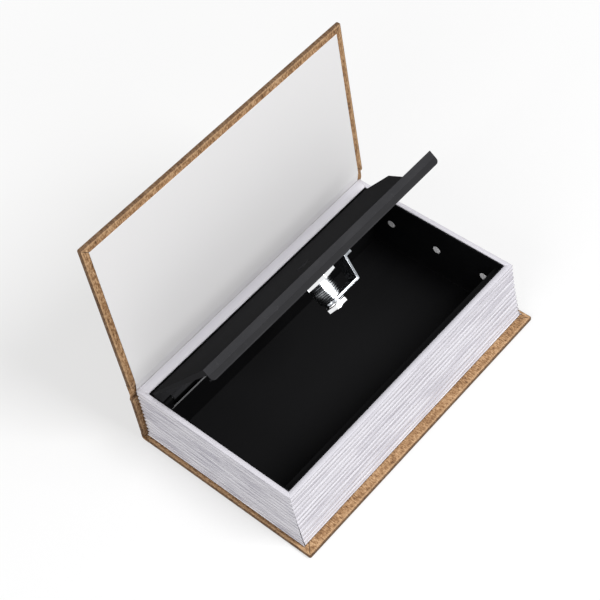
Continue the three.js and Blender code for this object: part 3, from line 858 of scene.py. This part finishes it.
@dataclass
class WrappedBoard:
    """A grey board with paper folded round it, in its own frame of millimetres."""

    name: str
    node: str
    body: Body
    low: Triple
    high: Triple
    opens_up: bool
    turn_in: float
    to_frame: Matrix
    turn: float = 0.0
    wrap: float = 0.4
    corner: float = 1.3
    edge: float = 0.6

    def slab(self) -> bmesh.types.BMesh:
        """Returns the outer form: a plate with round corners."""
        mesh = bmesh.new()
        (x0, y0, z0), (x1, y1, z1) = self.low, self.high
        outline = []
        r = self.corner
        for cx, cy, start in ((x1, y1, 0), (x0, y1, 90), (x0, y0, 180), (x1, y0, 270)):
            inset_x = cx - math.copysign(r, cx - (x0 + x1) / 2)
            inset_y = cy - math.copysign(r, cy - (y0 + y1) / 2)
            for k in range(7):
                a = math.radians(start + 15 * k)
                outline.append((inset_x + r * math.cos(a), inset_y + r * math.sin(a)))
        base = mesh.faces.new([mesh.verts.new((x, y, z0)) for x, y in outline])
        made = bmesh.ops.extrude_face_region(mesh, geom=[base])
        raised = [v for v in made["geom"] if isinstance(v, bmesh.types.BMVert)]
        bmesh.ops.translate(mesh, verts=raised, vec=(0, 0, z1 - z0))
        bmesh.ops.recalc_face_normals(mesh, faces=mesh.faces)
        rims = [e for e in mesh.edges if abs(e.verts[0].co.z - e.verts[1].co.z) < WELD_WITHIN]
        bmesh.ops.bevel(mesh, geom=rims, offset=self.edge, segments=4, affect="EDGES", profile=0.5)
        return mesh

    def hollow(self, inset: float, low: float, high: float) -> bpy.types.Object:
        """Returns a cutter inset from the outline, between two heights."""
        mesh = bmesh.new()
        bmesh.ops.create_cube(mesh, size=1.0)
        run, side = (b - a - 2 * inset for a, b in zip(self.low[:2], self.high))
        size = (run, side, high - low)
        centre = [(a + b) / 2 for a, b in zip(self.low, self.high)]
        bmesh.ops.scale(mesh, verts=mesh.verts, vec=size)
        bmesh.ops.translate(mesh, verts=mesh.verts, vec=(centre[0], centre[1], (low + high) / 2))
        mesh.transform(self.to_frame)
        return new_object(f"{self.name}_cutter", mesh)

    def build(self) -> bpy.types.Object:
        """Builds and dresses the folded paper."""
        outer = self.slab()
        outer.transform(self.to_frame)
        if self.to_frame.determinant() < 0:
            bmesh.ops.reverse_faces(outer, faces=outer.faces)
        piece = new_object(self.name, outer)
        z0, z1 = self.low[2], self.high[2]
        window = (z1 - 2 * self.wrap, z1 + 1) if self.opens_up else (z0 - 1, z0 + 2 * self.wrap)
        cutters = [
            self.hollow(self.wrap, z0 + self.wrap, z1 - self.wrap),
            self.hollow(self.turn_in, *window),
        ]
        for cutter in cutters:
            cut = piece.modifiers.new("hollow", "BOOLEAN")
            cut.operation = "DIFFERENCE"
            cut.solver = "EXACT"
            cut.object = cutter
        piece = settle(piece)
        for cutter in cutters:
            bpy.data.objects.remove(cutter)
        piece = flattened(piece, 35.0)
        return dress(piece, self.paper(), [self.node], self.body)

    def paper(self) -> KraftPaper:
        """Returns the cover paper with its seams set to this board."""
        centre = (Vector(self.low) + Vector(self.high)) / 2
        half = ((self.high[0] - self.low[0]) / 2, (self.high[1] - self.low[1]) / 2)
        return KraftPaper(
            f"{self.name}_finish",
            centre=self.to_frame @ centre,
            half=half,
            inner_side=1.0 if self.opens_up else -1.0,
            turn=self.turn,
        )


@dataclass
class Binding:
    """The covers, the spine and the flexible joints between them."""

    spine_thickness: float = 2.6
    spine_low: float = 4.6
    spine_high: float = 48.4
    cover_inner: float = 2.2
    cover_outer: float = 5.2
    joint_sheet: float = 0.45

    def build(self) -> None:
        """Builds the three wrapped boards, their linings and the joints."""
        leaf = hinge_frame("cover_joint")
        inner, outer = self.cover_inner, self.cover_outer
        upright = Matrix(((0, 0, 1, 0), (0, 1, 0, 0), (1, 0, 0, 0), (0, 0, 0, 1)))
        boards = [
            WrappedBoard(
                "back_cover_paper", "back_cover_wrap", Body.CASE,
                (4.2, 0, 0), (153, BOOK_LENGTH, 3),
                opens_up=True, turn_in=14, to_frame=book_frame(),
            ),
            WrappedBoard(
                "front_cover_paper", "front_cover_wrap", Body.FRONT_COVER,
                (8, 0, inner), (145.5, BOOK_LENGTH, outer),
                opens_up=False, turn_in=14, to_frame=leaf, turn=COVER_OPENED,
            ),
            WrappedBoard(
                "spine_paper", "spine_wrap", Body.SPINE,
                (self.spine_low, 0, 0), (self.spine_high, BOOK_LENGTH, self.spine_thickness),
                opens_up=True, turn_in=9, to_frame=book_frame() @ upright, turn=math.radians(-90),
            ),
        ]
        for board in boards:
            board.build()
        for node in ("back_cover_board", "spine_board", "front_cover_board"):
            paint_node(node, BOARD)
        for node, paper, body in (
            ("front_endpaper", ENDPAPER, Body.FRONT_COVER),
            ("back_endpaper", SHADED_BACK_LINING, Body.CASE),
        ):
            dress(softened(node, f"{node}_sheet", 0.08, 2), paper, [node], body)
        self.joints(leaf)

    def joints(self, leaf: Matrix) -> None:
        """Builds the sheets that bend at the two hinge lines of the case."""
        whole = (0.05, BOOK_LENGTH - 0.05)
        below = [(6.0, 0.04), (4.4, 0.04), (2.4, 0.06), (0.75, 0.55), (0.05, 1.9), (-0.03, 4.2)]
        below += [(-0.03, 6.4)]
        back = swept_sheet("back_joint_paper", below, whole, self.joint_sheet)
        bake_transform(back)
        dress(back, EDGE_PAPER, ["back_joint_wrap"])
        outside = [(-0.03, 45.6), (-0.03, 47.6), (0.7, 49.6), (1.5, 52.4), (1.65, 56.0)]
        outside += [(1.4, 59.6)]
        outside += self.on_leaf(leaf, [(x, self.cover_outer + 0.03) for x in (8.9, 11.0)])
        front = swept_sheet("front_joint_paper", outside, whole, self.joint_sheet)
        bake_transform(front)
        dress(front, EDGE_PAPER, ["front_joint_wrap"])
        inside = [(2.95, 38.0), (2.98, 46.0), (3.05, 51.0), (3.2, 54.8), (3.7, 57.8)]
        inside += self.on_leaf(leaf, [(7.6, 2.15), (10.5, 2.15)])
        lining = swept_sheet("front_joint_lining", inside, (5.5, 234.5), -0.24, taper=1.0)
        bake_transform(lining)
        dress(lining, ENDPAPER, ["front_joint_endpaper"])

    @staticmethod
    def on_leaf(leaf: Matrix, points: Line) -> list[Pair]:
        """Returns points of the front cover's section in book X and Z."""
        made = [(leaf @ Vector((x, 0, z))) / MM - BOOK_CORNER for x, z in points]
        return [(p.x, p.z) for p in made]


STRIP_LENGTHS = (
    "Height", "Outer Start", "Outer End", "Inner Start", "Inner End", "End Lean",
    "Width", "Face Lean", "Flare", "End Flare", "Mitre Gap", "Unevenness",
)


@dataclass(frozen=True)
class StripPlan:
    """Where one page strip lies: its run, its width and how its face leans."""

    name: str
    node: str
    origin: Pair
    run: Pair
    inward: Pair
    outer: Pair
    inner: Pair
    end_lean: float
    width: float
    face_lean: float
    foot: float
    flare: float = 0.0
    end_flare: float = 0.0
    finish: PagePlastic = SPINE_PAGES


@dataclass
class PageBlock:
    """The four ribbed strips that look like a block of pages."""

    base: float = 3.3
    height: float = 52.0
    rim: float = 1.6
    skin: float = 1.8
    foot_height: float = 1.2
    rib_depth: float = 1.2
    rib_shares: tuple[float, ...] = (0.7, 1.0, 0.85, 0.6, 0.95)
    rib_tops: tuple[float, ...] = (
        4.3, 8.0, 12.6, 16.3, 20.9, 24.8, 28.7, 33.4, 37.1, 41.6, 45.7, 50.4,
    )
    rib_form: tuple[Pair, ...] = (
        (0.0, 1.0), (0.07, 0.82), (0.14, 0.42), (0.22, 0.15), (0.36, 0.03), (0.5, 0.0),
        (0.64, 0.03), (0.78, 0.15), (0.86, 0.42), (0.93, 0.82),
    )
    stations: int = 90
    mitre_gap: float = 0.02
    unevenness: float = 0.34
    seed: float = 4.7

    def plans(self) -> list[StripPlan]:
        """Returns the four strips' plans in book millimetres."""
        near, far, spine, fore = 4.2, 235.8, 3.8, 142.4
        ends = {
            "run": (1, 0), "outer": (spine, fore), "inner": (11.9, 135.5), "width": 3.5,
            "foot": 1.2, "face_lean": 0.0, "end_lean": 2.8, "flare": 0.8, "end_flare": 3.0,
            "finish": END_PAGES,
        }
        sides = {"run": (0, 1), "outer": (near, far), "inner": (7.7, 232.3), "end_lean": 0.0}
        return [
            StripPlan("pages_near", "page_strip_near", (0, near), inward=(0, 1), **ends),
            StripPlan("pages_far", "page_strip_far", (0, far), inward=(0, -1), **ends),
            StripPlan(
                "pages_spine", "page_strip_spine", (spine, 0), inward=(1, 0),
                foot=0.8, width=8.1, face_lean=0, **sides,
            ),
            StripPlan(
                "pages_fore_edge", "page_strip_fore_edge", (fore, 0), inward=(-1, 0),
                foot=3.2, width=6.9, face_lean=2.8, flare=3.0, finish=FORE_PAGES, **sides,
            ),
        ]

    def section(self, plan: StripPlan) -> list[Pair]:
        """Returns a strip's section, round from the foot, as depth from its face and height."""
        top, step = self.height, self.foot_height
        under = top - self.rim
        foot = plan.foot - plan.flare
        line = [(-foot + 0.25, 0.0), (-foot, 0.3), (-foot, step - 0.35), (-foot + 0.4, step)]
        low = step
        for i, high in enumerate(self.rib_tops):
            depth = self.rib_depth * self.rib_shares[i % len(self.rib_shares)]
            line += [(depth * share, low + (high - low) * t) for t, share in self.rib_form]
            low = high
        line += [(self.rib_depth * 0.9, under), (0.25, under + 0.2), (0.0, under + 0.6)]
        line += [(0.05, top - 0.35), (0.4, top)]
        width = plan.width - plan.face_lean
        line += [(width - 0.2, top), (width, top - 0.2), (width, under), (self.skin, under)]
        line += [(self.skin, step), (plan.width, step), (plan.width, 0.0)]
        return line

    def build(self) -> None:
        """Draws each strip's section and lets the node tree run it along its side."""
        tree = self.tree()
        for plan in self.plans():
            curve = bpy.data.curves.new(plan.name, "CURVE")
            curve.dimensions = "2D"
            curve.fill_mode = "NONE"
            points = self.section(plan)
            path = curve.splines.new("POLY")
            path.points.add(len(points) - 1)
            for point, (x, y) in zip(path.points, points):
                point.co = (x * MM, y * MM, 0.0, 1.0)
            path.use_cyclic_u = True
            piece = run_tree(linked(plan.name, curve), tree, self.inputs(plan))
            smooth(piece, 55.0)
            dress(piece, plan.finish, [plan.node], Body.CASE)

    def inputs(self, plan: StripPlan) -> dict[str, Any]:
        """Returns the strip tree's inputs for one strip."""
        lengths = (
            self.height, *plan.outer, *plan.inner, plan.end_lean, plan.width, plan.face_lean,
            plan.flare, plan.end_flare, self.mitre_gap, self.unevenness,
        )
        return {
            "Stations": self.stations,
            **{name: length * MM for name, length in zip(STRIP_LENGTHS, lengths)},
            "Seed": self.seed + plan.foot,
            "Origin": place(*plan.origin, self.base),
            "Run": (*plan.run, 0.0),
            "Inward": (*plan.inward, 0.0),
            "Finish": plan.finish.material(),
        }

    def tree(self) -> bpy.types.NodeTree:
        """Builds the tree that runs a section between two mitred corners."""
        kinds = {"Section": "Geometry", "Stations": "Int", "Finish": "Material"}
        kinds |= dict.fromkeys((*STRIP_LENGTHS, "Seed"), "Float")
        kinds |= dict.fromkeys(("Origin", "Run", "Inward"), "Vector")
        tree, bench, size = open_tree("page_strip", kinds, "Strip")
        line = bench.add("GeometryNodeCurvePrimitiveLine", {"Start": (0, 0, 0), "End": (0, 0, 1)})
        path = bench.add("GeometryNodeResampleCurve", {"Curve": line, "Count": size("Stations")})
        feeds = {"Curve": path, "Profile Curve": size("Section"), "Fill Caps": True}
        body = bench.add("GeometryNodeCurveToMesh", feeds)
        depth, height, share = bench.parts(bench.add("GeometryNodeInputPosition"))
        leaning = height / size("Height")
        width = size("Width") - size("Face Lean") * leaning
        cut = depth / width
        start, gap = size("Outer Start"), size("Mitre Gap")
        low = start + (size("Inner Start") - start) * cut + gap
        below = 1.0 - leaning
        outer_end = size("Outer End") - size("End Lean") * leaning
        outer_end = outer_end + size("End Flare") * below * below
        high = outer_end + (size("Inner End") - outer_end) * cut - gap
        along = low + (high - low) * share
        feeds = {0: along * 55.0, 1: size("Seed"), 2: height * 900.0}
        spot = bench.add("ShaderNodeCombineXYZ", feeds)
        face = depth.below(0.0011, 0.0004)
        rough = (bench.noise(spot, 1.0, 3.0, 0.6) - 0.5) * size("Unevenness") * face
        inward = depth + size("Face Lean") * leaning + rough.most(-0.00012)
        inward = inward - size("Flare") * below * below * face
        place_ = bench.vectors("ADD", size("Origin"), bench.scaled(size("Run"), along))
        place_ = bench.vectors("ADD", place_, bench.scaled(size("Inward"), inward))
        place_ = bench.vectors("ADD", place_, bench.add("ShaderNodeCombineXYZ", {2: height}))
        # Marks the grooves between the ribs for the painted shade of the strip finishes.
        groove = bench.span(depth, 0.2 * MM, 1.0 * MM)
        feeds = {"Geometry": body, "Name": "groove", "Value": groove}
        marked = bench.add("GeometryNodeStoreNamedAttribute", feeds, data_type="FLOAT")
        moved = bench.add("GeometryNodeSetPosition", {"Geometry": marked, "Position": place_})
        finish_tree(bench, moved, size("Finish"), "Strip")
        return tree


@dataclass
class Tray:
    """The steel tray with its pegs, hinge rail, rod and strike."""

    edge: float = 0.28

    def build(self) -> None:
        """Breaks the edges of the pressings, the pegs and the rod and finishes each."""
        for node, name, coat in (
            ("tray", "pressed_tray", TRAY_COAT),
            ("hinge_rail", "hinge_rail_angle", RAIL_COAT),
            ("strike_bracket", "strike_angle", TRAY_COAT),
        ):
            dress(softened(node, name, self.edge), coat, [node], Body.CASE)
        for end in ("near", "far"):
            for number in (1, 2, 3):
                node = f"tray_peg_{end}_{number}"
                peg = softened(node, f"{node}_moulded", 0.25, 2)
                dress(peg, PEG_PLASTIC, [node], Body.CASE)
        rod = softened("hinge_rod", "hinge_wire", 0.3, 2)
        dress(rod, BARE_STEEL, ["hinge_rod"], Body.CASE)


@dataclass
class Lid:
    """The folded lid and the bracket that carries the lock."""

    edge: float = 0.4

    def build(self) -> None:
        """Breaks the edges of the two pressings and finishes each."""
        for node, name in (("lid", "folded_lid"), ("lock_bracket", "lock_saddle")):
            piece = softened(node, name, self.edge, 4)
            dress(piece, LID_COAT, [node], Body.LID)


@dataclass
class CamLock:
    """The cam lock: threaded body, plug with wafers, cam and its fasteners."""

    centre: Pair = (78.6, 120.0)
    head: Pair = (3.25, 4.75)
    head_radius: float = 11.0
    shank_low: float = -16.95
    nut_low: float = -2.95
    nut_turn: float = 30.0
    core: float = 8.25
    bore: float = 6.1
    flat: float = 7.97
    thread_margin: float = 0.9
    pitch: float = 1.5
    crest: float = 8.3

    def build(self) -> None:
        """Builds every piece of the lock."""
        self.barrel()
        self.thread()
        nut = softened("lock_nut", "lock_hex_nut", 0.5)
        turned = Matrix.Rotation(math.radians(self.nut_turn), 4, "Z")
        nut.data.transform(self.seat() @ turned @ self.seat().inverted())
        dress(nut, CHROME, ["lock_nut"], Body.LID)
        for node, name, width, plate in (
            ("lock_plug", "lock_core", 0.18, CHROME),
            ("cam", "bent_cam", 0.4, CAM_PLATE),
            ("cam_washer", "cam_flat_washer", 0.15, CHROME),
            ("cam_nut", "cam_hex_nut", 0.5, CHROME),
        ):
            dress(softened(node, name, width), plate, [node], Body.CAM)
        for number in range(1, 6):
            node = f"lock_wafer_{number}"
            wafer = softened(node, f"{node}_stamped", 0.08, 2)
            dress(wafer, WAFER_BRASS, [node], Body.CAM)

    def seat(self) -> Matrix:
        """Returns the matrix from the lock's own millimetres, Z along its axis, to metres."""
        return hinge_frame("lid_joint") @ Matrix.Translation((*self.centre, 0.0))

    def barrel(self) -> None:
        """Turns the head and the cored shank, with two flats on the shank."""
        low, (under, top) = self.shank_low, self.head
        rim, core, bore = self.head_radius, self.core, self.bore
        outline = [
            (bore, low), (core - 0.5, low), (core, low + 0.5), (core, under), (rim - 0.2, under),
            (rim, under + 0.2), (rim, under + 0.5), (rim - 0.25, under + 1.0),
            (rim - 0.9, top - 0.15), (rim - 1.6, top), (bore + 1.2, top), (bore + 0.9, top - 0.35),
            (bore + 0.3, top - 0.35), (bore, top - 0.6),
        ]
        mesh = bmesh.new()
        sides = 96
        rings = []
        for k in range(sides):
            a = 2 * math.pi * k / sides
            ring = []
            for radius, z in outline:
                x, y = radius * math.cos(a), radius * math.sin(a)
                if bore < radius <= core and z <= under:
                    x = max(-self.flat, min(self.flat, x))
                ring.append(mesh.verts.new((x, y, z)))
            rings.append(ring)
        for first, second in zip(rings, rings[1:] + rings[:1]):
            for i in range(len(outline)):
                j = (i + 1) % len(outline)
                mesh.faces.new((first[i], second[i], second[j], first[j]))
        bmesh.ops.recalc_face_normals(mesh, faces=mesh.faces)
        mesh.transform(self.seat())
        piece = new_object("lock_barrel", mesh)
        smooth(piece, 25.0)
        dress(piece, LOCK_BARREL, ["lock_body"], Body.LID)

    def thread(self) -> None:
        """Runs a thread round the lock's shank with a node tree, flattened on its two sides."""
        length = self.nut_low - self.shank_low - 2 * self.thread_margin
        values = {
            "Turns": length / self.pitch,
            "Root": self.crest * MM,
            "Pitch": self.pitch * MM,
            "Length": length * MM,
            "Flat": (self.flat + 0.02) * MM,
        }
        tree, bench, size = open_tree("lock_thread", dict.fromkeys(values, "Float"), "Thread")
        feeds = {
            "Resolution": 48,
            "Rotations": size("Turns"),
            "Start Radius": size("Root"),
            "End Radius": size("Root"),
            "Height": size("Length"),
        }
        spiral = bench.add("GeometryNodeCurveSpiral", feeds)
        feeds = {"Resolution": 4, "Radius": size("Pitch") * 0.44}
        ridge = bench.add("GeometryNodeCurvePrimitiveCircle", feeds)
        feeds = {"Curve": spiral, "Profile Curve": ridge, "Fill Caps": True}
        swept = bench.add("GeometryNodeCurveToMesh", feeds)
        x, y, z = bench.parts(bench.add("GeometryNodeInputPosition"))
        held = x.least(size("Flat")).most(size("Flat") * -1.0)
        spot = bench.add("ShaderNodeCombineXYZ", {0: held, 1: y, 2: z})
        moved = bench.add("GeometryNodeSetPosition", {"Geometry": swept, "Position": spot})
        finish_tree(bench, moved, LOCK_BARREL.material(), "Thread")
        piece = run_tree(new_object("lock_thread", bmesh.new()), tree, values)
        raised = Matrix.Translation((0, 0, self.shank_low + self.thread_margin))
        piece.data.transform(self.seat() @ raised @ Matrix.Scale(1 / MM, 4))
        smooth(piece, 30.0)
        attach(piece, Body.LID.value)
        log.info("%s: %d faces", piece.name, len(piece.data.polygons))


@dataclass
class Studio:
    """Pale floor, soft lamps and the camera."""

    eye: Vector = Vector((0.474067, -0.443902, 0.908462))
    gaze: Vector = Vector((-0.46643, 0.412995, -0.782227))
    roll: float = -9.61
    lens: float = 96.19
    seen_tone: Triple = (0.9, 0.9, 0.9)
    bounce_tone: Triple = (0.22, 0.22, 0.22)
    glow_share: float = 0.56
    glow_span: Pair = (0.28, 0.75)
    sky: float = 0.36

    def build(self) -> None:
        """Builds the stage."""
        self.camera()
        self.floor()
        self.world()
        self.lamp("key_lamp", Vector((1.89, 0.62, 2.37)), size=1.3, power=76.0)
        self.lamp("fill_lamp", Vector((0.35, -2.1, 1.2)), size=1.6, power=24.0)
        bpy.context.scene.view_settings.view_transform = "Standard"

    def camera(self) -> None:
        """Sets the camera where the photograph was taken from."""
        data = bpy.data.cameras.new("camera")
        data.lens = self.lens
        data.sensor_width = 36.0
        data.sensor_fit = "HORIZONTAL"
        data.clip_start, data.clip_end = 0.05, 20.0
        made = linked("camera", data)
        turn = self.gaze.to_track_quat("-Z", "Y").to_matrix().to_4x4()
        rolled = Matrix.Rotation(math.radians(self.roll), 4, "Z")
        made.matrix_world = Matrix.Translation(self.eye) @ turn @ rolled
        bpy.context.scene.camera = made

    def floor(self) -> None:
        """Lays a wide pale floor that keeps the safe's shadow."""
        mesh = bmesh.new()
        bmesh.ops.create_grid(mesh, x_segments=1, y_segments=1, size=6.0)
        bmesh.ops.translate(mesh, verts=mesh.verts, vec=(0, 0, -0.0001))
        piece = new_object("floor", mesh)
        made = bpy.data.materials.new("floor_white")
        made.use_nodes = True
        bench = NodeBench(made.node_tree)
        grey = bench.add("ShaderNodeBsdfDiffuse", {"Color": (*self.bounce_tone, 1.0)})
        pale = bench.add("ShaderNodeBsdfDiffuse", {"Color": (*self.seen_tone, 1.0)})
        glow = bench.add("ShaderNodeEmission", {"Color": (1, 1, 1, 1), "Strength": 1.0})
        reach = bench.wire(bench.add("ShaderNodeTexCoord"), "Object")
        away = bench.add("ShaderNodeVectorMath", {0: reach}, operation="LENGTH")
        far = bench.span(bench.wire(away, "Value"), *self.glow_span)
        share = self.glow_share + (1.0 - self.glow_share) * far
        bright = bench.add("ShaderNodeMixShader", {0: share, 1: pale, 2: glow})
        mixed = bench.add("ShaderNodeMixShader", {0: bench.rays(), 1: grey, 2: bright})
        bench.add("ShaderNodeOutputMaterial", {"Surface": mixed})
        piece.data.materials.append(made)

    def world(self) -> None:
        """Sets an even white sky that the camera sees as white."""
        world = bpy.data.worlds.new("sky")
        world.use_nodes = True
        bpy.context.scene.world = world
        bench = NodeBench(world.node_tree)
        feeds = {"Color": (1, 1, 1, 1), "Strength": self.sky + bench.rays() * (1.0 - self.sky)}
        sky = bench.add("ShaderNodeBackground", feeds)
        bench.add("ShaderNodeOutputWorld", {"Surface": sky})

    @staticmethod
    def lamp(name: str, spot: Vector, size: float, power: float) -> None:
        """Hangs a square soft lamp that faces the safe.

        Args:
            name: The lamp's name.
            spot: Its place in metres.
            size: Its side in metres.
            power: Its power in watts.
        """
        data = bpy.data.lights.new(name, "AREA")
        data.shape = "SQUARE"
        data.size = size
        data.energy = power
        made = linked(name, data)
        turn = (Vector((0, 0, 0.05)) - spot).to_track_quat("-Z", "Y").to_matrix().to_4x4()
        made.matrix_world = Matrix.Translation(spot) @ turn


def main() -> None:
    """Dresses the safe group by group and sets the stage."""
    logging.basicConfig(level=logging.INFO, format="%(name)s %(message)s")
    for group in (Binding(), PageBlock(), Tray(), Lid(), CamLock(), Studio()):
        log.info("building %s", type(group).__name__)
        group.build()


if __name__ == "__main__":
    main()
